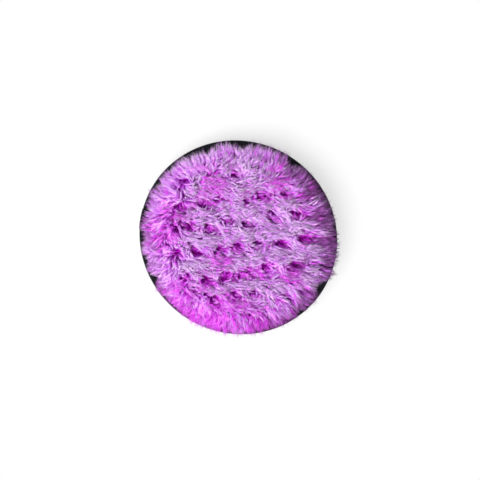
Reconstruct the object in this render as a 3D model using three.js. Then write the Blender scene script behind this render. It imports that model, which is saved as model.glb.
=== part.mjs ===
// Makeup remover sponge: a round pad with plush on both faces, a sponge core and a bound edge.
// Millimetres, +Z up. The pad lies on its back pile, with the origin at the middle of its resting face.
import * as THREE from 'three';

// Driving dimensions
const padDiameter = 120; // over the edge binding
const coreThickness = 7; // sponge at the middle of the pad
const coreEdgeThickness = 2.4; // sponge where the binding squeezes it
const groundThickness = 0.9; // knitted ground that carries each pile
const frontPileLength = 8.8;
const backPileLength = 8.5; // shorter, as the pad's weight lies on it
const restPress = 0.5; // depth to which the resting pile is pressed flat
const tapeThickness = 0.8;
const tapeReach = 8.5; // from the rim to the tape's inner edge, on each face
const pileInset = 0.7; // from the rim to the tips of the longest edge tufts
const pileLift = 0.6; // rise of the pile's underside from its roots to those tips
const threadDiameter = 0.5;
const seamInset = 1.8; // from the tape's inner edge to the seam
const edgeTuftCount = 22;
const edgeNotchDepth = 3.4; // how far the pile's tips draw back between two edge tufts

// Pits where the front pile parts, in slanted rows
const pitSpacing = 12.7; // from pit to pit along a row
const pitRowSpacing = 15;
const pitRowShift = 3.3; // how much further along each next row starts
const pitRowTurn = 8; // degrees from the X axis to the rows
const pitFirstX = 18.9; // the pit from which the rows are counted
const pitFirstY = 12.7;
const pitTurn = -30; // degrees from the X axis to a pit's long side
const pitLength = 5.4; // from a pit's middle to its ends
const pitWidth = 3.5;
const pitDepth = 4;
const pitInset = 8; // from the pile's roots at the tape to the outermost pits

// Clearances
const layerClearance = 0.3; // between cloth, sponge, tape and pile
const threadClearance = 0.1; // under each thread

// Fineness of the round surfaces
const pointsPerTuft = 3;
const plushTurns = edgeTuftCount * pointsPerTuft;
const coreTurns = 60;
const tapeTurns = 66;
const threadTurns = 90;
const threadSides = 5;
const shoulderSteps = 4;
const frontTopSteps = 13;
const backTopSteps = 6;
const bellySteps = 3;
const groundSteps = 3;
const coreSteps = 5;
const outerFoldSteps = 8;
const innerFoldSteps = 6;
const coreCrownPower = 4; // how flat the sponge stays before it falls to its edge
const frontCrownPower = 2.2; // how square the front pile's shoulder is
const backCrownPower = 3; // squarer, as the pad lies on it

// Radii
const rimRadius = padDiameter / 2;
const tapeInnerRadius = rimRadius - tapeReach;
const rootRadius = tapeInnerRadius - layerClearance;
const seamRadius = tapeInnerRadius + seamInset;
const pileRadius = rimRadius - pileInset;
const pitField = rootRadius - pitInset;

// Heights over the pad's middle plane
const coreEdgeHeight = coreEdgeThickness / 2;
const coreRise = coreThickness / 2 - coreEdgeHeight;
const groundEdgeHeight = coreEdgeHeight + layerClearance;
const groundEdgeTop = groundEdgeHeight + groundThickness;
const tapeInnerHeight = groundEdgeTop + layerClearance;
const tapeOuterHeight = tapeInnerHeight + tapeThickness;
const seamHeight = tapeOuterHeight + threadClearance + threadDiameter / 2;
const pileUnderHeight = seamHeight + threadDiameter / 2 + layerClearance;
const pileEdgeHeight = pileUnderHeight + pileLift;
const groundMiddleTop = groundEdgeTop + coreRise;
const restHeight = groundMiddleTop + backPileLength;

// Where the layers end inside the tape's round fold
const foldMiddle = rimRadius - tapeOuterHeight;
const groundRadius = foldMiddle;
const coreRadius = foldMiddle + Math.sqrt(groundEdgeTop ** 2 - coreEdgeHeight ** 2);

const plushMaterial = new THREE.MeshStandardMaterial({ color: 0xc878dc, roughness: 0.9, metalness: 0 });
const spongeMaterial = new THREE.MeshStandardMaterial({ color: 0xf0e6c8, roughness: 0.95, metalness: 0 });
const tapeMaterial = new THREE.MeshStandardMaterial({ color: 0x1c1c1e, roughness: 0.85, metalness: 0 });
const threadMaterial = new THREE.MeshStandardMaterial({ color: 0x141416, roughness: 0.6, metalness: 0 });

// Height of the sponge's crown over its edge, at a distance from the axis
function coreCrown(radius) {
  const share = Math.min(radius / rootRadius, 1);
  return coreRise * (1 - share ** coreCrownPower);
}

// Solid of revolution about Z from a section given as radius and height
function turned(section, turns) {
  const geometry = new THREE.LatheGeometry(section, turns);
  geometry.rotateX(Math.PI / 2);
  return geometry;
}

// Points of the sponge's crown, or of a cloth laid on it, from the axis out to its flat edge
function crownLine(edgeHeight, edgeRadius, steps) {
  const line = [];
  for (let step = 0; step <= steps; step += 1) {
    const radius = rootRadius * Math.sqrt(step / steps);
    line.push(new THREE.Vector2(radius, edgeHeight + coreCrown(radius)));
  }
  line.push(new THREE.Vector2(edgeRadius, edgeHeight));
  return line;
}

// Distances from the axis to the points of the pile's crown, from its edge inwards
function crownRadii(crownPower, topSteps) {
  const radii = [];
  const shoulderRadius = pileRadius * Math.cos(Math.PI / 4) ** (2 / crownPower);
  for (let step = 0; step < shoulderSteps; step += 1) {
    const turn = (Math.PI / 4) * (step / shoulderSteps);
    radii.push(pileRadius * Math.cos(turn) ** (2 / crownPower));
  }
  for (let step = 0; step <= topSteps; step += 1) {
    radii.push(shoulderRadius * (1 - step / topSteps));
  }
  return radii;
}

// Plush disc over the middle plane: ground held in the seam, pile that crowns and overhangs the tape
function plushGeometry(pileLength, crownPower, flatHeight, topSteps) {
  const section = crownLine(groundEdgeHeight, groundRadius, groundSteps);
  section.push(new THREE.Vector2(groundRadius, groundEdgeTop));
  section.push(new THREE.Vector2(rootRadius, groundEdgeTop));
  for (let step = 0; step < bellySteps; step += 1) {
    const turn = (Math.PI / 2) * (step / bellySteps);
    const radius = rootRadius + (pileRadius - rootRadius) * Math.sin(turn);
    const height = pileEdgeHeight - (pileEdgeHeight - pileUnderHeight) * Math.cos(turn);
    section.push(new THREE.Vector2(radius, height));
  }
  const pileRise = groundMiddleTop + pileLength - pileEdgeHeight;
  for (const radius of crownRadii(crownPower, topSteps)) {
    const fall = 1 - (radius / pileRadius) ** crownPower;
    const height = pileEdgeHeight + pileRise * fall ** (1 / crownPower);
    section.push(new THREE.Vector2(radius, Math.min(height, flatHeight)));
  }
  const geometry = turned(section, plushTurns);
  drawEdgeTufts(geometry);
  return geometry;
}

// Draws the overhanging pile back between the edge tufts
function drawEdgeTufts(geometry) {
  const points = geometry.attributes.position;
  for (let index = 0; index < points.count; index += 1) {
    const x = points.getX(index);
    const y = points.getY(index);
    const radius = Math.hypot(x, y);
    if (radius > rootRadius && points.getZ(index) > tapeOuterHeight) {
      const turn = Math.atan2(x, -y);
      const wave = Math.cos((edgeTuftCount * turn) / 2) ** 2;
      const overhang = (radius - rootRadius) / (pileRadius - rootRadius);
      const drawn = radius - edgeNotchDepth * overhang * wave;
      points.setXY(index, (x * drawn) / radius, (y * drawn) / radius);
    }
  }
}

// Middles of the pits, row by row
function pitPlaces() {
  const places = [];
  const axis = new THREE.Vector2();
  const first = new THREE.Vector2(pitFirstX, pitFirstY);
  const most = Math.ceil((2 * pitField) / Math.min(pitSpacing, pitRowSpacing));
  for (let row = -most; row <= most; row += 1) {
    for (let place = -most; place <= most; place += 1) {
      const pit = new THREE.Vector2(place * pitSpacing + row * pitRowShift, -row * pitRowSpacing);
      pit.rotateAround(axis, THREE.MathUtils.degToRad(pitRowTurn)).add(first);
      if (pit.length() < pitField) {
        places.push(pit);
      }
    }
  }
  return places;
}

// Sinks the crown of a pile where its locks part
function sinkPits(geometry, lowest) {
  const axis = new THREE.Vector2();
  const pits = pitPlaces();
  const points = geometry.attributes.position;
  for (let index = 0; index < points.count; index += 1) {
    if (points.getZ(index) > lowest) {
      const place = new THREE.Vector2(points.getX(index), points.getY(index));
      let share = 0;
      for (const pit of pits) {
        const apart = place.clone().sub(pit).rotateAround(axis, -THREE.MathUtils.degToRad(pitTurn));
        share = Math.max(share, Math.exp(-((apart.x / pitLength) ** 2) - (apart.y / pitWidth) ** 2));
      }
      points.setZ(index, points.getZ(index) - pitDepth * share);
    }
  }
}

// Sponge disc, crowned on both faces and squeezed thin at its edge
function coreGeometry() {
  const upper = crownLine(coreEdgeHeight, coreRadius, coreSteps);
  const lower = upper.map((point) => new THREE.Vector2(point.x, -point.y));
  return turned([...lower, ...upper.reverse()], coreTurns);
}

// Points of the tape's fold at one distance from the middle plane, from the lower leg to the upper
function foldLine(height, steps) {
  const line = [new THREE.Vector2(tapeInnerRadius, -height)];
  for (let step = 0; step <= steps; step += 1) {
    const turn = Math.PI * (step / steps - 0.5);
    line.push(new THREE.Vector2(foldMiddle + height * Math.cos(turn), height * Math.sin(turn)));
  }
  line.push(new THREE.Vector2(tapeInnerRadius, height));
  return line;
}

// Tape folded round the rim, as a closed section
function tapeGeometry() {
  const outer = foldLine(tapeOuterHeight, outerFoldSteps);
  const inner = foldLine(tapeInnerHeight, innerFoldSteps).reverse();
  return turned([...outer, ...inner, outer[0].clone()], tapeTurns);
}

// Seam thread on one leg of the tape
function threadGeometry() {
  const geometry = new THREE.TorusGeometry(seamRadius, threadDiameter / 2, threadSides, threadTurns);
  geometry.translate(0, 0, seamHeight);
  return geometry;
}

function named(name, geometry, material) {
  const mesh = new THREE.Mesh(geometry, material);
  mesh.name = name;
  return mesh;
}

const frontPlush = plushGeometry(frontPileLength, frontCrownPower, Infinity, frontTopSteps);
sinkPits(frontPlush, groundMiddleTop + frontPileLength / 2);

const frontFace = new THREE.Group();
frontFace.add(named('front_plush', frontPlush, plushMaterial));
frontFace.add(named('needle_thread', threadGeometry(), threadMaterial));

const backFace = new THREE.Group();
const backPlush = plushGeometry(backPileLength + restPress, backCrownPower, restHeight, backTopSteps);
backFace.add(named('back_plush', backPlush, plushMaterial));
backFace.add(named('bobbin_thread', threadGeometry(), threadMaterial));
backFace.rotation.x = Math.PI;

const pad = new THREE.Group();
pad.name = 'makeup_remover_sponge';
pad.add(frontFace, backFace);
pad.add(named('sponge_core', coreGeometry(), spongeMaterial));
pad.add(named('edge_binding', tapeGeometry(), tapeMaterial));
pad.position.z = restHeight;

export default pad;
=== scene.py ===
import math
import bpy
import numpy as np
from mathutils import Matrix, Vector


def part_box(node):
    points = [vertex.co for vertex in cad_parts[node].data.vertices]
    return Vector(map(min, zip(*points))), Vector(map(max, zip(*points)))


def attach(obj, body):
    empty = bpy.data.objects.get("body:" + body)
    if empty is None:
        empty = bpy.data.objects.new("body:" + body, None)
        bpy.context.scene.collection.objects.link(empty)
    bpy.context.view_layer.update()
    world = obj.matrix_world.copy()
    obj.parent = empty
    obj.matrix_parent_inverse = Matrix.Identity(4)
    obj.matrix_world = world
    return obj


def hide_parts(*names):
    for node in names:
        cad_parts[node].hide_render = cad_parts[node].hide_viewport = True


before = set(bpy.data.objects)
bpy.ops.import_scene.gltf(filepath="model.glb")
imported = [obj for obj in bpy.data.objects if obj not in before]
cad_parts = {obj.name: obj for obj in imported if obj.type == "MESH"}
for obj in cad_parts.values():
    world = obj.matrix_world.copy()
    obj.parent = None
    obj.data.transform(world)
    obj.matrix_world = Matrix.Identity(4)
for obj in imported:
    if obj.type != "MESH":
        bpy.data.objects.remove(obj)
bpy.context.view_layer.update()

mm = 0.001
print("frame loaded:", ", ".join(sorted(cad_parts)))

# measures of the pad, read from the frame
tapeLow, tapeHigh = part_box("edge_binding")
coreLow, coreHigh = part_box("sponge_core")
seamLow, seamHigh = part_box("needle_thread")
rimRadius = (tapeHigh.y - tapeLow.y) / 2
midHeight = (tapeHigh.z + tapeLow.z) / 2
tapeHalf = (tapeHigh.z - tapeLow.z) / 2
foldRadius = rimRadius - tapeHalf  # where the tape's round fold begins
coreHalf = (coreHigh.z - coreLow.z) / 2
coreRadius = (coreHigh.y - coreLow.y) / 2
threadThick = seamHigh.z - seamLow.z
seamRadius = (seamHigh.y - seamLow.y - threadThick) / 2
pad = {
    "clearance": 0.3 * mm,  # between cloth, sponge, tape and pile
    "coreEdge": 1.2 * mm,  # half the sponge's thickness under the tape
    "crownPower": 4,  # how flat the sponge stays before it falls to its edge
    "ground": 0.9 * mm,  # knitted ground of the plush
    "tapeReach": 8.5 * mm,  # from the rim to the tape's inner edge
    "stitches": 118,  # round the seam
}
tapeInner = rimRadius - pad["tapeReach"]
rootRadius = tapeInner - pad["clearance"]
groundEdge = pad["coreEdge"] + pad["clearance"] + pad["ground"]
tiny = 1e-9  # keeps a division off zero


def crown(radius):  # rise of the sponge's face over its edge
    share = np.minimum(radius / rootRadius, 1)
    return (coreHalf - pad["coreEdge"]) * (1 - share ** pad["crownPower"])


def groundTop(radius):  # height of the knitted ground over the middle plane
    return groundEdge + crown(radius)


def faceLine(rings, edgeHeight, edgeRadius):  # a crowned face in section, from the axis out to its edge
    line = []
    for ring in range(rings + 1):
        radius = rootRadius * ring / rings
        line.append((radius, edgeHeight + float(crown(radius))))
    return line + [(edgeRadius, edgeHeight)]


# small helpers

weldGap = 0.002 * mm  # points nearer than this become one


def choose(*pieces):  # selects these pieces alone, the first as the active one
    bpy.ops.object.select_all(action="DESELECT")
    for piece in pieces:
        piece.select_set(True)
    bpy.context.view_layer.objects.active = pieces[0]


def startEdit(piece):
    choose(piece)
    bpy.ops.object.mode_set(mode="EDIT")
    bpy.ops.mesh.select_mode(type="VERT")
    bpy.ops.mesh.select_all(action="SELECT")


def endEdit():
    bpy.ops.object.mode_set(mode="OBJECT")


def spinPiece(name, outline, steps):  # turns an outline of (radius, height) about Z
    bpy.ops.mesh.primitive_plane_add(size=mm, location=(0, 0, 0))
    piece = bpy.context.object
    piece.name = name
    startEdit(piece)
    bpy.ops.mesh.merge(type="CENTER")
    bpy.ops.transform.translate(value=(outline[0][0], 0, outline[0][1]))
    for before, after in zip(outline, outline[1:]):
        step = (after[0] - before[0], 0, after[1] - before[1])
        bpy.ops.mesh.extrude_region_move(TRANSFORM_OT_translate={"value": step})
    bpy.ops.mesh.select_all(action="SELECT")
    bpy.ops.mesh.spin(steps=steps, angle=math.tau, center=(0, 0, 0), axis=(0, 0, 1))
    bpy.ops.mesh.select_all(action="SELECT")
    bpy.ops.mesh.remove_doubles(threshold=weldGap)
    bpy.ops.mesh.normals_make_consistent(inside=False)
    bpy.ops.mesh.faces_shade_smooth()
    endEdit()
    return piece


def points(piece):
    found = np.empty(len(piece.data.vertices) * 3)
    piece.data.vertices.foreach_get("co", found)
    return found.reshape(-1, 3)


def setPoints(piece, places):
    piece.data.vertices.foreach_set("co", places.ravel())
    piece.data.update()


def settle(piece, node, material):  # ties a finished piece to the frame
    piece.data.materials.clear()
    piece.data.materials.append(material)
    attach(piece, "root")
    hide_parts(node)


# shader sums


class Wire:  # a socket that can be used in sums
    def __init__(self, socket):
        self.socket = socket

    def apply(self, operation, first, second):
        settings = {"operation": operation}
        return addNode(self.socket.id_data, "ShaderNodeMath", settings, {0: first, 1: second})

    def __add__(self, other):
        return self.apply("ADD", self, other)

    def __sub__(self, other):
        return self.apply("SUBTRACT", self, other)

    def __mul__(self, other):
        return self.apply("MULTIPLY", self, other)

    def __gt__(self, other):
        return self.apply("GREATER_THAN", self, other)

    def __rsub__(self, other):
        return self.apply("SUBTRACT", other, self)

    __radd__ = __add__
    __rmul__ = __mul__


def addNode(tree, kind, settings=None, inputs=None, output=0):
    node = tree.nodes.new(kind)
    for key, value in (settings or {}).items():
        if key == "stops":
            setStops(node.color_ramp.elements, value)
        else:
            setattr(node, key, value)
    for key, value in (inputs or {}).items():
        if isinstance(value, Wire):
            tree.links.new(value.socket, node.inputs[key])
        else:
            node.inputs[key].default_value = value
    return Wire(node.outputs[output])


def setStops(elements, stops):  # colours of a ramp, each with its place
    while len(elements) < len(stops):
        elements.new(0.5)
    for element, (place, colour) in zip(elements, stops):
        element.position = place
        element.color = (*colour, 1)


def ramp(tree, stops, share):
    return addNode(tree, "ShaderNodeValToRGB", {"stops": stops}, {0: share})


def remap(tree, value, low, high, first, last):
    return addNode(tree, "ShaderNodeMapRange", {}, {0: value, 1: low, 2: high, 3: first, 4: last})


def mixColour(tree, share, first, second):
    return addNode(tree, "ShaderNodeMix", {"data_type": "RGBA"}, {0: share, 6: first, 7: second}, 2)


def objectPlace(tree):  # the piece's own coordinates
    return addNode(tree, "ShaderNodeTexCoord", {}, {}, "Object")


def split(tree, place):  # the first two coordinates of a place
    first = addNode(tree, "ShaderNodeSeparateXYZ", {}, {0: place}, 0)
    return first, Wire(first.socket.node.outputs[1])


def noise(tree, place, scale, detail):
    return addNode(tree, "ShaderNodeTexNoise", {}, {"Vector": place, "Scale": scale, "Detail": detail})


def cells(tree, place, scale):
    return addNode(tree, "ShaderNodeTexVoronoi", {"feature": "F1"}, {"Vector": place, "Scale": scale})


def relief(tree, height, look, invert=False):
    inputs = {"Height": height, "Distance": look["reliefDepth"], "Strength": look["reliefStrength"]}
    return addNode(tree, "ShaderNodeBump", {"invert": invert}, inputs)


def newMaterial(name, fixed):  # a material whose shader has these fixed values
    material = bpy.data.materials.new(name)
    material.use_nodes = True
    tree = material.node_tree
    shader = tree.nodes["Principled BSDF"]
    for key, value in fixed.items():
        shader.inputs[key].default_value = value
    return material, tree, shader


def feed(tree, shader, **wires):
    for key, wire in wires.items():
        tree.links.new(wire.socket, shader.inputs[key.replace("_", " ")])


# finishes

fibreLook = {  # linear colours of one fibre, from its root to its tip
    "lilac": ((0.0, (0.74, 0.008, 0.84)), (0.5, (0.75, 0.05, 0.92)), (0.72, (0.80, 0.26, 1.0)),
              (1.0, (0.90, 0.64, 1.0))),
    "magenta": ((0.0, (0.78, 0.004, 0.80)), (0.4, (0.80, 0.012, 0.84)), (0.7, (0.84, 0.05, 0.92)),
                (1.0, (0.92, 0.2, 1.0))),
    "shade": (0.24, 0.07, 0.27, 1),  # towards which the lowest tones go: darker locks of their own, and painted shade at the right rim, in partings and in the spots of painted shade
    "shadeShare": 0.9,
    "pale": (0.94, 0.75, 1.0, 1),  # towards which the tips of the highest tones go
    "paleShare": 0.8,
    "middleTone": 0.5,
    "roughness": 0.42,
    "gloss": 0.05,
    "glossTint": (1, 0.5, 1, 1),
}


def fibreFinish():
    look = fibreLook
    fixed = {"Roughness": look["roughness"], "Specular IOR Level": look["gloss"],
             "Specular Tint": look["glossTint"]}
    material, tree, shader = newMaterial("silky fibre", fixed)
    across, along = split(tree, addNode(tree, "ShaderNodeUVMap", {"uv_map": "OFBake"}))
    family = across > 0.5  # the right half of the map is the magenta pile
    tone = across * 2 - family  # 0 to 1 within each half
    colour = mixColour(tree, family, ramp(tree, look["lilac"], along), ramp(tree, look["magenta"], along))
    darker = remap(tree, tone, look["middleTone"], 0.0, 0.0, look["shadeShare"])
    paler = remap(tree, tone, look["middleTone"], 1.0, 0.0, look["paleShare"])
    colour = mixColour(tree, darker, colour, look["shade"])
    colour = mixColour(tree, paler * along, colour, look["pale"])
    feed(tree, shader, Base_Color=colour)
    return material


knitLook = {
    "loopScale": 900.0,  # loops to the metre
    # lighter in the middle of a loop, darker towards its edge: painted shade between the loops
    "colours": ((0.0, (0.66, 0.004, 0.68)), (0.6, (0.5, 0.003, 0.52))),
    "reliefDepth": 0.2 * mm,
    "reliefStrength": 0.6,
    "roughness": 0.9,
    "gloss": 0.2,
}


def knitFinish():
    look = knitLook
    fixed = {"Roughness": look["roughness"], "Specular IOR Level": look["gloss"]}
    material, tree, shader = newMaterial("knitted ground", fixed)
    loops = cells(tree, objectPlace(tree), look["loopScale"])
    bump = relief(tree, loops, look, True)
    # painted shade: the colour darkens where the relief falls between the loops
    feed(tree, shader, Base_Color=ramp(tree, look["colours"], loops), Normal=bump)
    return material


weaveLook = {  # black weave of the tape
    "lintScale": 2600.0,
    "lintDetail": 3.0,
    "wearScale": 70.0,
    "wearDetail": 4.0,
    "shares": (0.4, 0.4, 0.3),  # of lint, wear and the ribs' painted light and shade in the colour
    "colours": ((0.1, (0.0006, 0.0006, 0.0015)), (0.8, (0.011, 0.011, 0.016))),
    "wear": (0.3, 0.7),  # over which the roughness goes from its first value to its last
    "roughness": (0.68, 0.9),
    "reliefDepth": 0.08 * mm,
    "reliefStrength": 0.5,
    "gloss": 0.06,
}


def tapeFinish():
    look = weaveLook
    material, tree, shader = newMaterial("ribbed tape", {"Specular IOR Level": look["gloss"]})
    place = objectPlace(tree)
    lint = noise(tree, place, look["lintScale"], look["lintDetail"])
    wear = noise(tree, place, look["wearScale"], look["wearDetail"])
    x, y = split(tree, place)
    turn = y.apply("ARCTAN2", y, x) * tapeLook["ribCount"]
    rib = turn.apply("COSINE", turn, 0.0)
    lintShare, wearShare, paintedRibShadeShare = look["shares"]
    # painted light and shade of the ribs: lighter on their crests, darker in their grooves, mixed with lint
    # and wear
    shade = lint * lintShare + wear * wearShare + rib * paintedRibShadeShare
    roughness = remap(tree, wear, *look["wear"], *look["roughness"])
    colour = ramp(tree, look["colours"], shade)
    feed(tree, shader, Base_Color=colour, Roughness=roughness, Normal=relief(tree, lint, look))
    return material


twistLook = {  # black sewing thread
    "scale": 4000.0,
    "detail": 1.0,
    "colours": ((0.35, (0.004, 0.004, 0.005)), (0.75, (0.02, 0.02, 0.022))),
    "roughness": 0.35,
    "roughnessSwing": 0.3,
    "gloss": 0.5,
}


def threadFinish():
    look = twistLook
    material, tree, shader = newMaterial("black sewing thread", {"Specular IOR Level": look["gloss"]})
    twist = noise(tree, objectPlace(tree), look["scale"], look["detail"])
    roughness = twist * look["roughnessSwing"] + look["roughness"]
    feed(tree, shader, Base_Color=ramp(tree, look["colours"], twist), Roughness=roughness)
    return material


poreLook = {  # open cells of the sponge, painted darker in their hollows as shade
    "scale": 1400.0,
    "colours": ((0.0, (0.45, 0.36, 0.2)), (0.35, (0.86, 0.78, 0.57))),
    "reliefDepth": 0.3 * mm,
    "reliefStrength": 0.8,
    "roughness": 0.95,
    "gloss": 0.15,
}


def foamFinish():
    look = poreLook
    fixed = {"Roughness": look["roughness"], "Specular IOR Level": look["gloss"]}
    material, tree, shader = newMaterial("open-cell foam", fixed)
    pores = cells(tree, objectPlace(tree), look["scale"])
    # painted shade: the colour darkens towards the middle of each cell, where the relief is lowest
    feed(tree, shader, Base_Color=ramp(tree, look["colours"], pores), Normal=relief(tree, pores, look))
    return material


print("finishes ready")

# stage, light and camera

stageLook = {
    "floorSize": 6.0,
    "floorColour": (0.6, 0.6, 0.6, 1),
    "floorRoughness": 0.8,
    "nearWhite": 0.6,  # share of plain white that the camera sees beside the pad
    "whiteFrom": (0.05, 0.13),  # over which that share grows to 1
    "worldStrength": 0.6,
    "glossyShare": 0.6,  # of the white that reflections see
}
keyLook = {"towards": 212, "height": 69, "distance": 0.9, "size": 0.9, "power": 15.0}


def makeFloor():
    look = stageLook
    bpy.ops.mesh.primitive_plane_add(size=look["floorSize"], location=(0, 0, 0))
    floor = bpy.context.object
    floor.name = "floor"
    fixed = {"Base Color": look["floorColour"], "Roughness": look["floorRoughness"]}
    material, tree, shader = newMaterial("pale floor", fixed)
    seen = addNode(tree, "ShaderNodeLightPath", {}, {}, "Is Camera Ray")
    white = addNode(tree, "ShaderNodeEmission", {}, {"Strength": 1.0})
    away = addNode(tree, "ShaderNodeVectorMath", {"operation": "LENGTH"}, {0: objectPlace(tree)}, 1)
    share = remap(tree, away, *look["whiteFrom"], look["nearWhite"], 1.0)
    mixed = addNode(tree, "ShaderNodeMixShader", {}, {0: seen * share, 1: Wire(shader.outputs[0]), 2: white})
    tree.links.new(mixed.socket, tree.nodes["Material Output"].inputs["Surface"])
    floor.data.materials.append(material)


def makeWorld():
    world = bpy.data.worlds.new("studio")
    world.use_nodes = True
    tree = world.node_tree
    seen = addNode(tree, "ShaderNodeLightPath", {}, {}, "Is Camera Ray")
    glossy = Wire(seen.socket.node.outputs["Is Glossy Ray"])
    white = seen.apply("MAXIMUM", seen, glossy * stageLook["glossyShare"])
    level = white * (1 - stageLook["worldStrength"]) + stageLook["worldStrength"]
    tree.nodes["Background"].inputs["Color"].default_value = (1, 1, 1, 1)
    tree.links.new(level.socket, tree.nodes["Background"].inputs["Strength"])
    bpy.context.scene.world = world


def makeLamp(name, look):
    turn, rise = math.radians(look["towards"]), math.radians(look["height"])
    way = Vector((math.cos(turn) * math.cos(rise), math.sin(turn) * math.cos(rise), math.sin(rise)))
    bpy.ops.object.light_add(type="AREA", location=way * look["distance"])
    lamp = bpy.context.object
    lamp.name = name
    lamp.data.shape = "DISK"
    lamp.data.size = look["size"]
    lamp.data.energy = look["power"]
    lamp.rotation_euler = way.to_track_quat("Z", "Y").to_euler()


viewLook = {
    "imageSide": 480,  # pixels
    "rimCentre": (236.6, 240.2),  # where the camera sees the pad's middle, pixels from the top left
    "rimHalfWidth": 100.2,  # the rim's radius in the picture, pixels
    "tilt": 16.5,  # degrees off straight down
    "tiltTowards": 59.6,  # side that the camera stands on, degrees from +X
    "distance": 0.45,  # to the pad's middle
    "sensor": 36.0,
    "clip": 0.01,
}


def makeCamera():
    look = viewLook
    side = look["imageSide"]
    lensPixels = look["rimHalfWidth"] * look["distance"] / rimRadius
    turn, tilt = math.radians(look["tiltTowards"]), math.radians(look["tilt"])
    hinge = Vector((-math.sin(turn), math.cos(turn), 0))
    lean = Matrix.Rotation(tilt, 4, hinge)  # tips a camera that looks straight down
    bpy.ops.object.camera_add(location=(0, 0, 0))
    camera = bpy.context.object
    camera.name = "camera"
    camera.data.sensor_width = look["sensor"]
    camera.data.lens = lensPixels * look["sensor"] / side
    camera.data.shift_x = (side / 2 - look["rimCentre"][0]) / side
    camera.data.shift_y = (look["rimCentre"][1] - side / 2) / side
    camera.data.clip_start = look["clip"]
    middle = Matrix.Translation((0, 0, midHeight))
    camera.matrix_world = middle @ lean @ Matrix.Translation((0, 0, look["distance"]))
    bpy.context.scene.camera = camera


makeFloor()
makeWorld()
makeLamp("key", keyLook)
makeCamera()
bpy.context.scene.view_settings.view_transform = "Standard"
print("stage, light and camera placed")

# tape folded round the rim

tapeLook = {
    "thickness": 0.8 * mm,
    "skinShare": 0.6,  # of that, from the outside, which the ribs and puckers shape
    "foldSteps": 14,
    "ribCount": 330,  # cross ribs round the rim
    "ribDepth": 0.2 * mm,
    "puckerDepth": 0.2 * mm,  # one pucker for each stitch
    "lapTowards": 168,  # where the tape's end lies over its start
    "lapWidth": 13.0,  # degrees
    "lapEdge": 0.6,  # degrees over which the lap rises
    "lapRise": 0.3 * mm,
}


def foldLine(height, steps):  # from the lower leg's edge round the rim to the upper leg's edge
    halfway = (tapeInner + foldRadius) / 2
    line = [(tapeInner, -height), (halfway, -height)]
    for step in range(steps + 1):
        turn = math.pi * (step / steps - 0.5)
        line.append((foldRadius + height * math.cos(turn), height * math.sin(turn)))
    return line + [(halfway, height), (tapeInner, height)]


def makeTape():
    look = tapeLook
    skin = look["ribDepth"] + look["puckerDepth"]
    outer = foldLine(tapeHalf - skin, look["foldSteps"])
    inner = foldLine(tapeHalf - look["thickness"], look["foldSteps"])[::-1]
    outline = [(radius, midHeight + height) for radius, height in outer + inner + outer[:1]]
    tape = spinPiece("edge_tape", outline, look["ribCount"] * 2)
    places = points(tape)
    turn = np.arctan2(places[:, 1], places[:, 0])
    radius = np.hypot(places[:, 0], places[:, 1])
    height = places[:, 2] - midHeight
    out = np.maximum(radius - foldRadius, 0)
    reach = np.hypot(out, height)
    onSkin = reach > tapeHalf - look["thickness"] * look["skinShare"]
    rib = 0.5 + 0.5 * np.cos(look["ribCount"] * turn)
    pucker = 0.5 + 0.5 * np.cos(pad["stitches"] * turn)
    away = np.abs((np.degrees(turn) - look["lapTowards"] + 180) % 360 - 180)
    lap = np.clip((look["lapWidth"] / 2 - away) / look["lapEdge"], 0, 1)
    leg = np.clip((foldRadius - radius) / (foldRadius - rootRadius), 0, 1)  # puckers fade towards the rim
    rise = look["ribDepth"] * rib + look["puckerDepth"] * pucker * leg + look["lapRise"] * lap
    share = np.where(onSkin, rise / np.maximum(reach, tiny), 0)
    places[:, 0] += np.cos(turn) * out * share
    places[:, 1] += np.sin(turn) * out * share
    places[:, 2] += height * share
    setPoints(tape, places)
    settle(tape, "edge_binding", tapeFinish())


makeTape()
print("tape folded")

# lockstitch seam, one line of stitches on each leg of the tape

stitchLook = {"length": 2.45 * mm, "sink": 0.16 * mm, "sides": 8, "rings": 6}


def makeStitches(name, node, side, finish):
    look = stitchLook
    height = midHeight + side * (tapeHalf + threadThick / 2 - look["sink"])
    bpy.ops.mesh.primitive_uv_sphere_add(segments=look["sides"], ring_count=look["rings"],
                                         radius=threadThick / 2, location=(0, 0, 0))
    stitch = bpy.context.object
    stitch.name = name
    startEdit(stitch)
    bpy.ops.transform.resize(value=(1, look["length"] / threadThick, 1))
    bpy.ops.mesh.faces_shade_smooth()
    bpy.ops.transform.translate(value=(seamRadius, 0, height))
    endEdit()
    copies = [stitch]
    for number in range(1, pad["stitches"]):
        copy = stitch.copy()
        copy.data = stitch.data.copy()
        bpy.context.collection.objects.link(copy)
        copy.data.transform(Matrix.Rotation(math.tau * number / pad["stitches"], 4, "Z"))
        copies.append(copy)
    choose(*copies)
    bpy.ops.object.join()
    settle(stitch, node, finish)


threadBlack = threadFinish()
makeStitches("needle_stitches", "needle_thread", 1, threadBlack)
makeStitches("bobbin_stitches", "bobbin_thread", -1, threadBlack)
print("seam sewn")

# sponge disc

foamLook = {"rings": 46, "steps": 220, "poreDepth": 0.22 * mm, "poreSize": 2.2 * mm}


def makeSponge():
    look = foamLook
    upper = faceLine(look["rings"], pad["coreEdge"], coreRadius)
    lower = [(radius, -height) for radius, height in upper]
    outline = [(radius, midHeight + height) for radius, height in lower + upper[::-1]]
    sponge = spinPiece("sponge_disc", outline, look["steps"])
    pores = bpy.data.textures.new("pores", "VORONOI")
    pores.noise_scale = look["poreSize"]
    dent = sponge.modifiers.new("pores", "DISPLACE")
    dent.texture = pores
    dent.texture_coords = "GLOBAL"
    dent.mid_level = 1.0
    dent.strength = look["poreDepth"]
    choose(sponge)
    bpy.ops.object.modifier_apply(modifier="pores")
    settle(sponge, "sponge_core", foamFinish())


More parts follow.
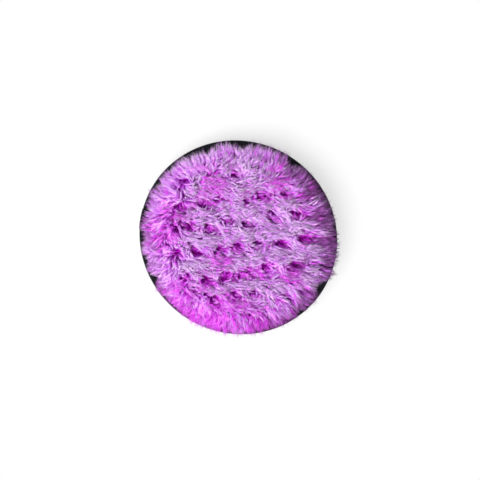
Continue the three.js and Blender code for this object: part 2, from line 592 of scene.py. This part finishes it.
makeSponge()
print("sponge cut")

# knitted ground of each face

groundLook = {"rings": 24, "steps": 160}


def makeGround(name, node, side, finish):
    look = groundLook
    upper = faceLine(look["rings"], groundEdge, foldRadius)
    lower = [(radius, height - pad["ground"]) for radius, height in upper]
    outline = [(radius, midHeight + side * height) for radius, height in lower + upper[::-1]]
    ground = spinPiece(name, outline, look["steps"])
    settle(ground, node, finish)


knit = knitFinish()
makeGround("front_ground", "front_plush", 1, knit)
makeGround("back_ground", "back_plush", -1, knit)
print("grounds laid")

# pile: locks of fibres that lean with the nap, part at the pits and fan out over the rim

strandLook = {
    "rings": (0.34, 0.68),  # shares of its length at which a fibre bends
    "girth": (0.85, 1.0, 0.72),  # at the root and at those rings
    "section": (2.0, 0.45),  # width and depth of a combed fibre, against its thickness
    "edgeSection": (1.25, 0.7),  # the same where the pile fans out
    "aslant": (0.31, 0.17, 0.93),  # the way from which a fibre's sides are turned
    "capSlope": 0.9,  # upright share of a normal from which a face is the root's cap
    "capBand": 0.03,  # half the share of the map's height that the cap takes up
    "bands": 60,  # columns of the map, one tone each
    "margin": 0.01,  # left free at the map's top and bottom
    "triangles": 16,  # of one fibre
    "mostTriangles": 200000,  # of one piece
    "spare": 100,  # fibres fewer than that allows
}
stations = (0.0, *strandLook["rings"], 1.0)


def modelStrand():  # one fibre, a unit long and a unit thick, to be copied
    look = strandLook
    bpy.ops.mesh.primitive_cone_add(vertices=3, radius1=1, radius2=0, depth=1, location=(0, 0, 0))
    strand = bpy.context.object
    startEdit(strand)
    bpy.ops.transform.translate(value=(0, 0, 0.5))
    for height in look["rings"]:
        bpy.ops.mesh.select_all(action="SELECT")
        bpy.ops.mesh.bisect(plane_co=(0, 0, height), plane_no=(0, 0, 1))
    endEdit()
    places = points(strand)
    levels = np.round(places[:, 2], 3)
    for height, girth in zip(stations, look["girth"]):
        ring = levels == round(height, 3)
        places[ring, :2] *= girth / np.hypot(places[ring, 0], places[ring, 1])[:, None]
    faces = []
    for face in strand.data.polygons:
        corners = list(face.vertices)
        isCap = abs(face.normal.z) >= look["capSlope"]
        across = (1, 0, 0) if isCap else face.normal.cross((0, 0, 1))
        spread = places[corners] @ np.array(across)
        spread = (spread - spread.min()) / np.ptp(spread)
        along = look["capBand"] * (places[corners, 1] + 1) if isCap else places[corners, 2]
        faces.append((corners, spread, along))
    bpy.data.objects.remove(strand)
    return places, faces


frontPile = {
    "seed": 7,
    "pitch": 1.02 * mm,  # from lock to lock
    "fibres": 9,  # in a lock
    "thick": 0.165 * mm,  # of a fibre
    "length": 14.1 * mm,  # in the combed middle
    "edgeLength": 15.0 * mm,  # where the pile turns outwards
    "rimLength": 12.8 * mm,  # beside the tape
    "overhang": 6.4 * mm,  # more beside the tape, on the side of swingTowards
    "comb": 8,  # way that the middle lies, degrees from +X
    "combPull": 0.95,  # how far it lies over
    "combFrom": (-50 * mm, -10 * mm),  # places along that way, from standing to lying
    "lean": (8, 104),  # degrees off upright at the root and at the tip
    "bend": 1.35,  # how late along its length a lock bends
    "edgeBend": 1.3,
    "rimBend": 0.75,
    "reach": 61.2 * mm,  # outline of the pile, from the axis
    "swing": 1.8 * mm,  # how much further it reaches on one side
    "swingTowards": 45,
    "notchTurn": 0,  # degrees by which notches and tufts are turned
    "rest": None,  # gap to the floor, for a pile that the pad lies on
    "spots": ((-35.6, 14.6), (-40.6, 6.5), (-15.5, 33.2), (-12.4, -10.3), (-20.2, -25.1), (-0.6, -35.9),
              (29.2, -16.9), (21.9, 33.7)),  # roots of plain magenta pile, millimetres
    "paintedShadeSpots": ((38.0, 28.0), (42.0, 15.0), (45.5, 3.0), (37.0, -11.0)),  # roots of pile darkened as painted shade, like deep partings, millimetres
}
backPile = {  # the other face, where it differs
    **frontPile,
    "seed": 19,
    "pitch": 1.5 * mm,
    "fibres": 8,
    "thick": 0.2 * mm,
    "length": 13.4 * mm,
    "rimLength": 13.2 * mm,
    "overhang": 0.0,
    "comb": 140,
    "lean": (10, 82),
    "bend": 1.2,
    "edgeBend": 1.2,
    "reach": 59.2 * mm,
    "swing": 0.8 * mm,
    "swingTowards": 100,
    "notchTurn": 77,
    "rest": 0.15 * mm,
    "spots": ((12.0, 20.0), (-24.0, -8.0), (30.0, -30.0), (-8.0, 41.0)),
    "paintedShadeSpots": (),
}


def wayOf(turn):  # a unit step along X and Y
    return np.stack([np.cos(turn), np.sin(turn)])


driftLook = {"waves": 6, "spread": (0.7, 1.4), "level": 2.4}


def drift(rng, places, wave):  # smooth seeded unevenness, about -1 to 1
    found = np.zeros(len(places))
    for _ in range(driftLook["waves"]):
        turn, phase = rng.uniform(0, math.tau, 2)
        pace = math.tau / (wave * rng.uniform(*driftLook["spread"]))
        found += np.sin(places @ wayOf(turn) * pace + phase)
    return found / driftLook["level"]


def sway(rng, places, sizeAndWave):  # the same in a given size
    size, wave = sizeAndWave
    return size * drift(rng, places, wave)


def smooth(low, high, value):  # 0 up to the low value, 1 from the high one on
    share = np.clip((value - low) / (high - low), 0, 1)
    return share * share * (3 - 2 * share)


def fading(look, value):  # the same up to a given share
    low, high, share = look
    return share * smooth(low, high, value)


def between(share):  # 1 halfway, 0 at both ends
    return 4 * share * (1 - share)


def facing(turn, towards):  # 1 in that direction, 0 from a right angle on
    return np.maximum(np.cos(turn - math.radians(towards)), 0)


pitLook = {  # partings in a slanted grid
    "first": (21.3 * mm, 16.1 * mm),  # the parting from which the grid is counted
    "along": (12.56 * mm, 1.79 * mm),  # from parting to parting in a row
    "down": (5.38 * mm, -14.35 * mm),  # from row to row
    "cells": 10,  # rows and columns each way
    "within": 50 * mm,  # of the axis
    "jitter": 1.2 * mm,
    "towards": -22,  # long side of a parting, degrees from +X
    "stray": 0.35,  # of that, in radians
    "length": 5.3 * mm,  # from the middle of a parting to its ends
    "width": 3.0 * mm,
    "ragged": (1.6 * mm, 5 * mm),  # size and wave length of its ragged edge
    "push": 1.55,  # how far it pushes the locks over
    "rimCalm": 0.93,  # how much less it does so beside the tape
    "strength": (0.7, 1.2),
    "leftFade": (34 * mm, 48 * mm, 0.9),  # weaker between two distances from the axis, by this share
    "leftEnd": (0, 30 * mm),  # places along X over which that fade ends
    "rimFade": (42 * mm, 49 * mm, 0.7),
    "rightFade": (40 * mm, 46 * mm, 0.9),  # weaker between two places along X
    "rightGain": (10 * mm, 36 * mm, 0.5),  # stronger between two places along X
    "shorten": 0.42,  # of the locks in a parting
    "pink": 0.9,  # share of magenta locks in it, a deeper colour painted as the parting's shade
    "extra": ((-7.4, -21.2, 1.7, 10), (1.2, -19.6, 1.3, 10), (8.6, -18.4, 0.9, 10),
              (-31.9, 22.5, 1.0, -30), (-18.7, 23.3, 1.3, -30)),  # millimetres, strength, degrees
}


def pitPlaces(rng):
    look = pitLook
    along, down, first = (np.array(look[key]) for key in ("along", "down", "first"))
    counts = range(-look["cells"], look["cells"] + 1)
    grid = [first + column * along + row * down for column in counts for row in counts]
    grid = np.array(grid) + rng.normal(0, look["jitter"], (len(grid), 2))
    grid = grid[np.hypot(grid[:, 0], grid[:, 1]) < look["within"]]
    x, radius = grid[:, 0], np.hypot(grid[:, 0], grid[:, 1])
    turn = math.radians(look["towards"]) + rng.normal(0, look["stray"], len(grid))
    fade = 1 - fading(look["leftFade"], radius) * (1 - smooth(*look["leftEnd"], x))
    fade = fade * (1 - fading(look["rimFade"], radius)) * (1 - fading(look["rightFade"], x))
    strength = rng.uniform(*look["strength"], len(grid)) * fade * (1 + fading(look["rightGain"], x))
    extra = np.array(look["extra"])
    turn = np.concatenate([turn, np.radians(extra[:, 3])])
    return {
        "place": np.concatenate([grid, extra[:, :2] * mm]),
        "way": wayOf(turn).T,
        "strength": np.concatenate([strength, extra[:, 2]]),
    }


rootLook = {
    "rowShare": 0.866,  # of the pitch, from row to row
    "stray": 0.22,  # of the pitch
    "margin": 0.2 * mm,  # left free beside the tape
    "depth": 0.3 * mm,  # in the knitted ground
}


def lockRoots(rng, pitch):  # staggered rows of roots, a little disturbed
    look = rootLook
    rows = np.arange(-rootRadius, rootRadius, pitch * look["rowShare"])
    line = np.arange(-rootRadius, rootRadius, pitch)
    x, y = np.meshgrid(line, rows)
    x = x + (np.arange(len(rows)) % 2)[:, None] * pitch / 2
    roots = np.stack([x.ravel(), y.ravel()], 1) + rng.normal(0, pitch * look["stray"], (x.size, 2))
    return roots[np.hypot(roots[:, 0], roots[:, 1]) < rootRadius - look["margin"]]


edgeLook = {  # where the pile turns outwards and lies over the tape
    "from": 34 * mm,  # distances from the axis between which it turns
    "to": 53 * mm,
    "wander": (4.0 * mm, 13 * mm),  # size and wave length of the wandering of these
    "narrow": (45, 5.5 * mm),  # side on which it turns further out, and by how much
    "steady": (46 * mm, 51 * mm),  # over which both of these end
    "rim": (43 * mm, 51 * mm),  # over which the roots come to lie beside the tape
    "lean": 6,  # degrees more at the root
    "droop": 10,  # degrees more at the tip
    "rimDroop": 18,  # the same beside the tape
    "shady": (8, 18),  # side on which tips droop more there, and by how much
    "aside": 0.5,  # how far locks turn aside where the comb runs against them
    "messy": 0.9,  # radians by which single locks turn there
    "fan": 0.06,  # radians by which a tuft's sides spread
    "layer": 0.5,  # how much shorter the lower locks are
    "ragged": 0.9 * mm,  # of the outline
    "shortest": 0.3,  # share of a lock that is never trimmed
    "tuftGain": 1.5,  # growth of a lock against the reach of its tuft
    "most": 61.5 * mm,  # furthest reach, but for the tufts
    "notches": ((33, 2.6, 3.5), (54, 5.4, 4.2), (70, 0.2, 3), (85, 5.8, 5.3), (106, 5.6, 5.3),
                (117, 4.4, 4), (143, 4.3, 3), (160, 5.8, 3), (178, 5.4, 3.5), (192, 5.5, 3.5),
                (205, 7.5, 4), (228, 2.6, 9), (248, 1.5, 3), (270, 1.5, 3), (290, 2.5, 3),
                (305, 1.2, 3), (333, 6.6, 5.5), (352, 0.0, 3),
                (10, 3.2, 3.5)),  # degrees from +X, millimetres drawn back, degrees of width
    "tufts": ((29, 0.4, 4), (46, 0.9, 4), (63, 1.1, 6), (80, 0.3, 3), (130, 1.0, 5), (243, 1.5, 5),
              (270, 0.9, 3), (341, 0.5, 6), (357, 0.6, 10)),  # the same for tufts past the outline
}


def acrossFan(turn, look):  # -1 to 1 from notch to notch of the edge pile
    marks = np.sort((np.array([notch[0] for notch in edgeLook["notches"]]) + look["notchTurn"]) % 360)
    ring = np.concatenate([[marks[-1] - 360], marks, [marks[0] + 360]])
    degrees = np.degrees(turn) % 360
    after = np.searchsorted(ring, degrees)
    low, high = ring[after - 1], ring[after]
    return 2 * (degrees - low) / (high - low) - 1


def bumpsAt(turn, bumps, look):  # sum of soft bumps round the rim, for notches and tufts
    found = np.zeros(turn.shape)
    for middle, size, width in bumps:
        away = (np.degrees(turn) - middle - look["notchTurn"] + 180) % 360 - 180
        found = found + size * mm * np.exp(-((away / width) ** 2))
    return found


def outlineAt(turn, look):  # how far out the pile may reach, by direction
    reach = look["reach"] + look["swing"] * np.cos(turn - math.radians(look["swingTowards"]))
    reach = reach - bumpsAt(turn, edgeLook["notches"], look)
    return np.minimum(reach, edgeLook["most"]) + bumpsAt(turn, edgeLook["tufts"], look)


def trimLocks(line, look, slack):  # share of each lock that stays inside the outline
    radius = np.hypot(line[:, :, 0], line[:, :, 1])
    over = radius - outlineAt(np.arctan2(line[:, :, 1], line[:, :, 0]), look) - slack[:, None]
    last = over.shape[1] - 1
    first = np.where((over > 0).any(1), np.argmax(over > 0, axis=1), last)
    first = np.maximum(first, 1)
    row = np.arange(len(line))
    inside, outside = over[row, first - 1], over[row, first]
    part = np.where(outside > 0, -inside / np.maximum(outside - inside, tiny), 1)
    return np.clip((first - 1 + part) / last, edgeLook["shortest"], 1)


def edgeAt(places, shift):  # 0 in the combed middle, 1 where the pile turns outwards
    return smooth(edgeLook["from"], edgeLook["to"], np.hypot(places[:, 0], places[:, 1]) + shift)


def pitsNear(places, pits):  # way from each pit, and how much of it is left here
    apart = places[:, None] - pits["place"][None]
    way = pits["way"][None]
    along = (apart * way).sum(2) / pitLook["length"]
    aside = (apart[:, :, 1] * way[:, :, 0] - apart[:, :, 0] * way[:, :, 1]) / pitLook["width"]
    return apart, pits["strength"] * np.exp(-(along ** 2) - aside ** 2)


def napAt(places, look, pits, whims):  # how far and which way the pile leans at a place
    comb = math.radians(look["comb"])
    combed = comb + whims["comb"]
    edge = edgeAt(places, whims["edge"])
    outward = np.arctan2(places[:, 1], places[:, 0]) + edgeLook["fan"] * whims["fan"]
    against = np.maximum(-np.cos(outward - combed), 0) * between(edge)
    aside = edgeLook["aside"] * against * whims["aside"]
    pull = look["combPull"] * whims["pull"] * smooth(*look["combFrom"], places @ wayOf(comb)) * (1 - edge)
    nap = pull * wayOf(combed) + edge * wayOf(outward)
    nap = (nap + aside * wayOf(outward + math.pi / 2)).T
    apart, depth = pitsNear(places + whims["pit"], pits)
    shove = depth / (np.linalg.norm(apart, axis=2) + tiny)
    return nap + pitLook["push"] * whims["inside"][:, None] * (apart * shove[:, :, None]).sum(1)


pinkLook = {  # where the pile is plain magenta, without the pale tips: towards one side as painted glow of light through the pile, elsewhere in spots
    "towards": 261,
    "from": 20 * mm,
    "to": 46 * mm,
    "share": 0.88,
    "drift": (6 * mm, 24 * mm),
    "spotSize": 6.8 * mm,
    # size of a spot of painted shade
    "paintedShadeSpotSize": 3.4 * mm,
}


def spotsAt(places, spots, size):  # 1 at the middle of a spot, 0 well away from all
    share = np.zeros(len(places))
    for x, y in spots:
        apart = np.hypot(places[:, 0] - x * mm, places[:, 1] - y * mm) / size
        share = np.maximum(share, np.exp(-apart ** 2))
    return share


def pinkAt(rng, places, look):  # share of the locks that are magenta: painted glow towards one side, and the spots
    lean = places @ wayOf(math.radians(pinkLook["towards"])) + sway(rng, places, pinkLook["drift"])
    share = pinkLook["share"] * smooth(pinkLook["from"], pinkLook["to"], lean)
    return np.maximum(share, spotsAt(places, look["spots"], pinkLook["spotSize"]))


rightLook = {  # the right side, combed up to its rim, its rim and partings darkened as painted shade
    "towards": 12,
    "combed": 0.8,  # how much less its locks fan out
    "level": 0.7,  # how much less its lower locks are shortened
    "even": 0.6,  # how much less ragged its rim is
    "paleTo": (43 * mm, 50 * mm),  # over which its pale pile gives way to the edge's darker tone, painted shade on this side
    # how much darker its locks beside the tape are: painted shade
    "paintedRimShade": 0.46,
    "strand": 0.6,  # tones of its single locks
    "strandDrift": (0.45, 3.5 * mm),
    # how much darker its locks in a parting are: painted shade
    "paintedShadeInPartings": 0.3,
}


def standLocks(rng, roots):  # where each lock stands: in the middle, at the edge, by the tape
    look = edgeLook
    radius = np.hypot(roots[:, 0], roots[:, 1])
    turn = np.arctan2(roots[:, 1], roots[:, 0])
    narrowTowards, narrow = look["narrow"]
    wander = sway(rng, roots, look["wander"])
    wander = wander - narrow * (0.5 + 0.5 * np.cos(turn - math.radians(narrowTowards)))
    wander = wander * (1 - smooth(*look["steady"], radius))
    return {
        "root": roots,
        "radius": radius,
        "turn": turn,
        "wander": wander,
        "edge": edgeAt(roots, wander),
        "rim": smooth(*look["rim"], radius),  # 1 at the roots beside the tape
        "right": facing(turn, rightLook["towards"]) ** 2,
    }


whimLook = {  # how much locks differ, a pair being a size and a wave length
    "comb": (0.3, 26 * mm),
    "fineComb": (0.22, 8 * mm),
    "combStray": 0.2,
    "pull": (0.18, 7 * mm),
    "mostPull": 1.1,
    "aside": (0.3, 22 * mm),
    "asideStray": 0.3,
    "curl": 0.5,
    "edgeCalm": 0.6,  # how much less they curl at the edge
    "lengthStray": 0.11,
    "length": (0.05, 14 * mm),
    "layer": (-0.6, 1),  # a lock is full length where this is below 0
}


def lockWhims(rng, locks, look):  # how each lock differs from its neighbours
    roots, turn, edge = locks["root"], locks["turn"], locks["edge"]
    count = len(roots)
    raggedSize, raggedWave = pitLook["ragged"]
    ragged = [drift(rng, roots, raggedWave) for _ in range(2)]
    comb = sway(rng, roots, whimLook["comb"]) + sway(rng, roots, whimLook["fineComb"])
    against = 0.5 - 0.5 * np.cos(turn - math.radians(look["comb"]))
    return {
        "pit": raggedSize * np.stack(ragged, 1),
        "edge": locks["wander"],
        "fan": acrossFan(turn, look),
        "inside": 1 - pitLook["rimCalm"] * locks["rim"],
        "comb": comb + rng.normal(0, whimLook["combStray"], count),
        "pull": 1 + sway(rng, roots, whimLook["pull"]),
        "aside": 1 + sway(rng, roots, whimLook["aside"]) + rng.normal(0, whimLook["asideStray"], count),
        "curl": rng.normal(0, whimLook["curl"], count) * (1 - whimLook["edgeCalm"] * edge),
        "stir": edgeLook["messy"] * rng.normal(0, 1, count) * against * between(edge),
    }


def lockLengths(rng, locks, sunk, look):
    turn, edge, rim = locks["turn"], locks["edge"], locks["rim"]
    length = look["length"] + (look["edgeLength"] - look["length"]) * edge
    length = length + (look["rimLength"] - length) * rim
    length = length + look["overhang"] * rim * facing(turn, look["swingTowards"])
    length = length + edgeLook["tuftGain"] * rim * bumpsAt(turn, edgeLook["tufts"], look)
    stray = whimLook["lengthStray"] * rng.normal(0, 1, len(turn)) * (1 - rim)
    length = length * (1 + stray + sway(rng, locks["root"], whimLook["length"]))
    length = length * (1 - pitLook["shorten"] * sunk * (1 - rim))
    layer = np.maximum(rng.uniform(*whimLook["layer"], len(turn)), 0)  # shorter locks under the longest
    return length * (1 - edgeLook["layer"] * layer * edge * (1 - rightLook["level"] * locks["right"]))


def bendLocks(locks, whims, length, pits, look):  # lines of the locks, as lock, step and coordinate
    edge, rim = locks["edge"], locks["rim"]
    low, high = look["lean"]
    shadyTowards, shadyDroop = edgeLook["shady"]
    rimDroop = edgeLook["rimDroop"] + shadyDroop * facing(locks["turn"], shadyTowards)
    droop = edgeLook["droop"] * edge + rimDroop * rim
    bend = look["bend"] + (look["edgeBend"] - look["bend"]) * edge
    bend = bend + (look["rimBend"] - bend) * rim
    heights = groundTop(locks["radius"]) - rootLook["depth"]
    places = np.concatenate([locks["root"], heights[:, None]], 1)
    line = [places]
    marks = np.linspace(0, 1, lockLook["steps"] + 1)
    for before, after in zip(marks, marks[1:]):
        now = (before + after) / 2
        nap = napAt(places[:, :2], look, pits, whims)
        pull = np.linalg.norm(nap, axis=1)
        heading = np.arctan2(nap[:, 1], nap[:, 0]) + whims["curl"] * now + whims["stir"]
        lean = low + edgeLook["lean"] * edge * (1 - now)
        lean = lean + (high - low) * np.minimum(pull, whimLook["mostPull"]) * now ** bend
        lean = np.radians(lean + droop * now ** 2)
        way = np.stack([*(wayOf(heading) * np.sin(lean)), np.cos(lean)], 1)
        places = places + (length * (after - before))[:, None] * way
        line.append(places)
    return np.stack(line, 1)


toneLook = {  # 0 is dark and 1 is pale
    "plain": 0.79,
    "stray": 0.25,
    "drift": (0.1, 22 * mm),
    "pink": 0.23,  # how much darker magenta locks are
    "pinkCalm": 0.7,  # how much less they differ
    "dark": 0.65,  # how much darker the spots of painted shade are
    "edge": -0.73,
    "pale": (102, 0.88),  # sides on which the edge is paler, and by how much
    # side on which the edge is paler too, as painted glow of light through the pile, and by how much
    "paintedGlow": (251, 0.5),
    "fibre": 0.1,  # stray of single fibres
    "limits": (0.02, 0.98),
}


def lockTones(rng, locks, sunk, pink, dark):
    look = toneLook
    roots, turn, edge, right = (locks[key] for key in ("root", "turn", "edge", "right"))
    count = len(roots)
    stray = look["stray"] * rng.normal(0, 1, count) + sway(rng, roots, look["drift"])
    atEdge = look["edge"]
    for towards, share in (look["pale"], look["paintedGlow"]):
        atEdge = atEdge + share * facing(turn, towards) ** 2
    strands = rightLook["strand"] * rng.normal(0, 1, count) + sway(rng, roots, rightLook["strandDrift"])
    # painted shade on the right side: darker locks in its partings and beside the tape
    strands = (strands - rightLook["paintedShadeInPartings"] * sunk) * right * edge
    strands = strands - rightLook["paintedRimShade"] * right * locks["rim"]
    # on the right the pale pile lasts until near the rim, where the edge's darker tone comes in as painted
    # shade
    late = smooth(*rightLook["paleTo"], locks["radius"])
    deep = edge + (late - edge) * right
    tone = look["plain"] - look["pink"] * pink + stray * (1 - look["pinkCalm"] * pink)
    return tone + atEdge * deep + strands - look["dark"] * dark


def growLocks(rng, look):
    roots = lockRoots(rng, look["pitch"])
    pits = pitPlaces(rng)
    locks = standLocks(rng, roots)
    whims = lockWhims(rng, locks, look)
    sunk = np.minimum(pitsNear(roots + whims["pit"], pits)[1].sum(1), 1)  # 1 in the middle of a parting
    length = lockLengths(rng, locks, sunk, look)
    line = bendLocks(locks, whims, length, pits, look)
    even = locks["right"] * locks["rim"]
    slack = rng.normal(0, edgeLook["ragged"], len(roots)) * (1 - rightLook["even"] * even)
    # spots of painted shade where partings look dark, their locks also magenta
    dark = spotsAt(roots, look["paintedShadeSpots"], pinkLook["paintedShadeSpotSize"])
    pink = np.maximum(pinkAt(rng, roots, look), pitLook["pink"] * np.maximum(sunk, dark))
    return {
        "root": roots,
        "line": line,
        "kept": trimLocks(line, look, slack),
        "tone": lockTones(rng, locks, sunk, pink, dark),
        "fanned": locks["edge"] * (1 - rightLook["combed"] * locks["right"]),
        "pink": pink,
        "even": even,
    }


lockLook = {  # how a lock is made of fibres
    "steps": 8,  # of its line
    "spread": 0.65,  # round its root, against the pitch
    "wisps": 2,  # in which it ends
    "wispStray": 0.26 * mm,  # at the tips
    "looseWisp": 0.8,  # how much more where it fans out
    "fibreStray": 0.1 * mm,
    "looseFibre": 4,
    "strayPower": 1.5,  # how late along its length a fibre strays
    "gather": 0.62,  # how far fibres close up towards the tip
    "looseGather": 0.4,  # how much less where the lock fans out
    "pinkGather": 0.3,  # how much less in magenta pile
    "short": 0.17,  # how much shorter single fibres are
    "tapeGap": 0.2 * mm,  # between the tape and fibres that lie on it
    "tapeFrom": 0.6 * mm,  # from the outermost roots to where they lie on it
    "floorTurn": 0.5 * mm,  # height over which fibres turn to lie along the floor
}


def frayFibres(rng, lock, fanned, pink):  # how far each fibre's tip strays from its lock
    look = lockLook
    wisps = look["wisps"]
    wisp = lock * wisps + np.arange(len(lock)) % wisps
    loose = fanned[lock, None]
    soft = loose * pink[lock, None]
    stray = rng.normal(0, look["wispStray"], (len(fanned) * wisps, 3))[wisp]
    single = rng.normal(0, look["fibreStray"], (len(lock), 3))
    stray = stray * (1 + look["looseWisp"] * loose - soft)
    return stray + single * (1 + look["looseFibre"] * (loose + soft))


def alongLocks(line, lock, share):  # place of each fibre at a share of its lock's line
    steps = line.shape[1] - 1
    at = np.clip(share, 0, 1) * steps
    low = np.minimum(at.astype(int), steps - 1)
    part = (at - low)[:, None]
    return line[lock, low] * (1 - part) + line[lock, low + 1] * part


def growFibres(look):
    rng = np.random.default_rng(look["seed"])
    locks = growLocks(rng, look)
    fanned, pink = locks["fanned"], locks["pink"]
    lock = np.repeat(np.arange(len(pink)), look["fibres"])
    total = len(lock)
    spread = look["pitch"] * lockLook["spread"] * np.sqrt(rng.uniform(0, 1, total))
    turn = rng.uniform(0, math.tau, total)
    offset = np.stack([*(spread * wayOf(turn)), np.zeros(total)], 1)
    fray = frayFibres(rng, lock, fanned, pink)
    gather = lockLook["gather"] - lockLook["looseGather"] * fanned - lockLook["pinkGather"] * pink
    gather = gather[lock, None]
    short = np.abs(rng.normal(0, lockLook["short"], total)) * (1 - rightLook["even"] * locks["even"][lock])
    reach = locks["kept"][lock] * (1 - short)
    body = []
    for share in stations:
        centre = alongLocks(locks["line"], lock, share * reach)
        body.append(centre + offset * (1 - gather * share) + fray * share ** lockLook["strayPower"])
    tone = locks["tone"][lock] + toneLook["fibre"] * rng.normal(0, 1, total)
    family = (rng.uniform(0, 1, len(pink)) < pink)[lock]
    return {
        "body": restOnTape(np.stack(body, 1)),
        "column": (np.clip(tone, *toneLook["limits"]) + family) / 2,  # place across the map
        "fanned": fanned[lock],
        "root": locks["root"][lock],
    }


def restOnTape(body):  # fibres that would sink into the tape lie on it
    radius = np.hypot(body[:, :, 0], body[:, :, 1])
    fold = np.clip(radius - foldRadius, 0, tapeHalf)
    skin = np.sqrt(tapeHalf ** 2 - fold ** 2) + lockLook["tapeGap"]
    over = (radius > rootRadius + lockLook["tapeFrom"]) & (radius < rimRadius)
    body[:, :, 2] = np.where(over, np.maximum(body[:, :, 2], skin), body[:, :, 2])
    return body


def pressOnFloor(body, limit):  # fibres that would pass the floor lie along it
    soft = lockLook["floorTurn"]
    room = (limit - body[:, :, 2]) / soft
    body[:, :, 2] = limit - soft * np.logaddexp(0, room)
    return body


def strandCorners(fibres, thick, corners):  # corners of every fibre, its section turned along its bends
    body = fibres["body"]
    ahead = np.gradient(body, axis=1)
    ahead /= np.linalg.norm(ahead, axis=2)[:, :, None]
    side = np.cross(ahead, np.array(strandLook["aslant"]))
    side /= np.linalg.norm(side, axis=2)[:, :, None] + tiny
    other = np.cross(ahead, side)
    level = np.array([int(np.argmin(np.abs(np.array(stations) - z))) for z in corners[:, 2]])
    middle, edge = np.array(strandLook["section"]), np.array(strandLook["edgeSection"])
    section = thick / 2 * (middle + (edge - middle) * fibres["fanned"][:, None])
    places = body[:, level] + section[:, None, :1] * corners[None, :, :1] * side[:, level]
    return places + section[:, None, 1:] * corners[None, :, 1:2] * other[:, level]


def everyStrand(count, size, numbers):  # the numbers of one strand, counted on for all of them
    return (np.arange(count)[:, None] * size + numbers[None]).ravel().astype(np.int32)


def strandMesh(name, fibres, thick, template):
    corners, faces = template
    places = strandCorners(fibres, thick, corners)
    count = len(places)
    loopCorner, loopAcross, loopAlong = (np.concatenate(values) for values in zip(*faces))
    sizes = np.array([len(face[0]) for face in faces])
    starts = np.concatenate([[0], np.cumsum(sizes)[:-1]])
    mesh = bpy.data.meshes.new(name)
    mesh.vertices.add(count * len(corners))
    mesh.vertices.foreach_set("co", places.astype(np.float32).ravel())
    mesh.loops.add(count * len(loopCorner))
    mesh.loops.foreach_set("vertex_index", everyStrand(count, len(corners), loopCorner))
    mesh.polygons.add(count * len(faces))
    mesh.polygons.foreach_set("loop_start", everyStrand(count, len(loopCorner), starts))
    mesh.polygons.foreach_set("use_smooth", np.ones(count * len(faces), bool))
    mesh.update(calc_edges=True)
    bands, margin = strandLook["bands"], strandLook["margin"]
    column = np.floor(fibres["column"] * bands) / bands
    u = column[:, None] + loopAcross[None] / bands
    v = np.broadcast_to(margin + (1 - 2 * margin) * np.clip(loopAlong, 0, 1), u.shape)
    layer = mesh.uv_layers.new(name="OFBake")
    layer.uv.foreach_set("vector", np.stack([u, v], 2).astype(np.float32).ravel())
    mesh.validate()
    piece = bpy.data.objects.new(name, mesh)
    bpy.context.collection.objects.link(piece)
    return piece


def makePile(name, node, side, look, template, finish):
    fibres = growFibres(look)
    body, roots = fibres["body"], fibres["root"]
    if look["rest"] is not None:
        body = pressOnFloor(body, midHeight - look["rest"])
    body[:, :, 2] = midHeight + side * body[:, :, 2]
    perPiece = strandLook["mostTriangles"] // strandLook["triangles"] - strandLook["spare"]
    sector = np.argsort(np.arctan2(roots[:, 1], roots[:, 0]), kind="stable")
    pieces = int(np.ceil(len(body) / perPiece))
    for number, part in enumerate(np.array_split(sector, pieces), 1):
        chosen = {key: values[part] for key, values in fibres.items()}
        pile = strandMesh(f"{name}_{number}", chosen, look["thick"], template)
        settle(pile, node, finish)
    print(name, len(body), "fibres in", pieces, "pieces")


strand = modelStrand()
fibre = fibreFinish()
makePile("front_pile", "front_plush", 1, frontPile, strand, fibre)
makePile("back_pile", "back_plush", -1, backPile, strand, fibre)
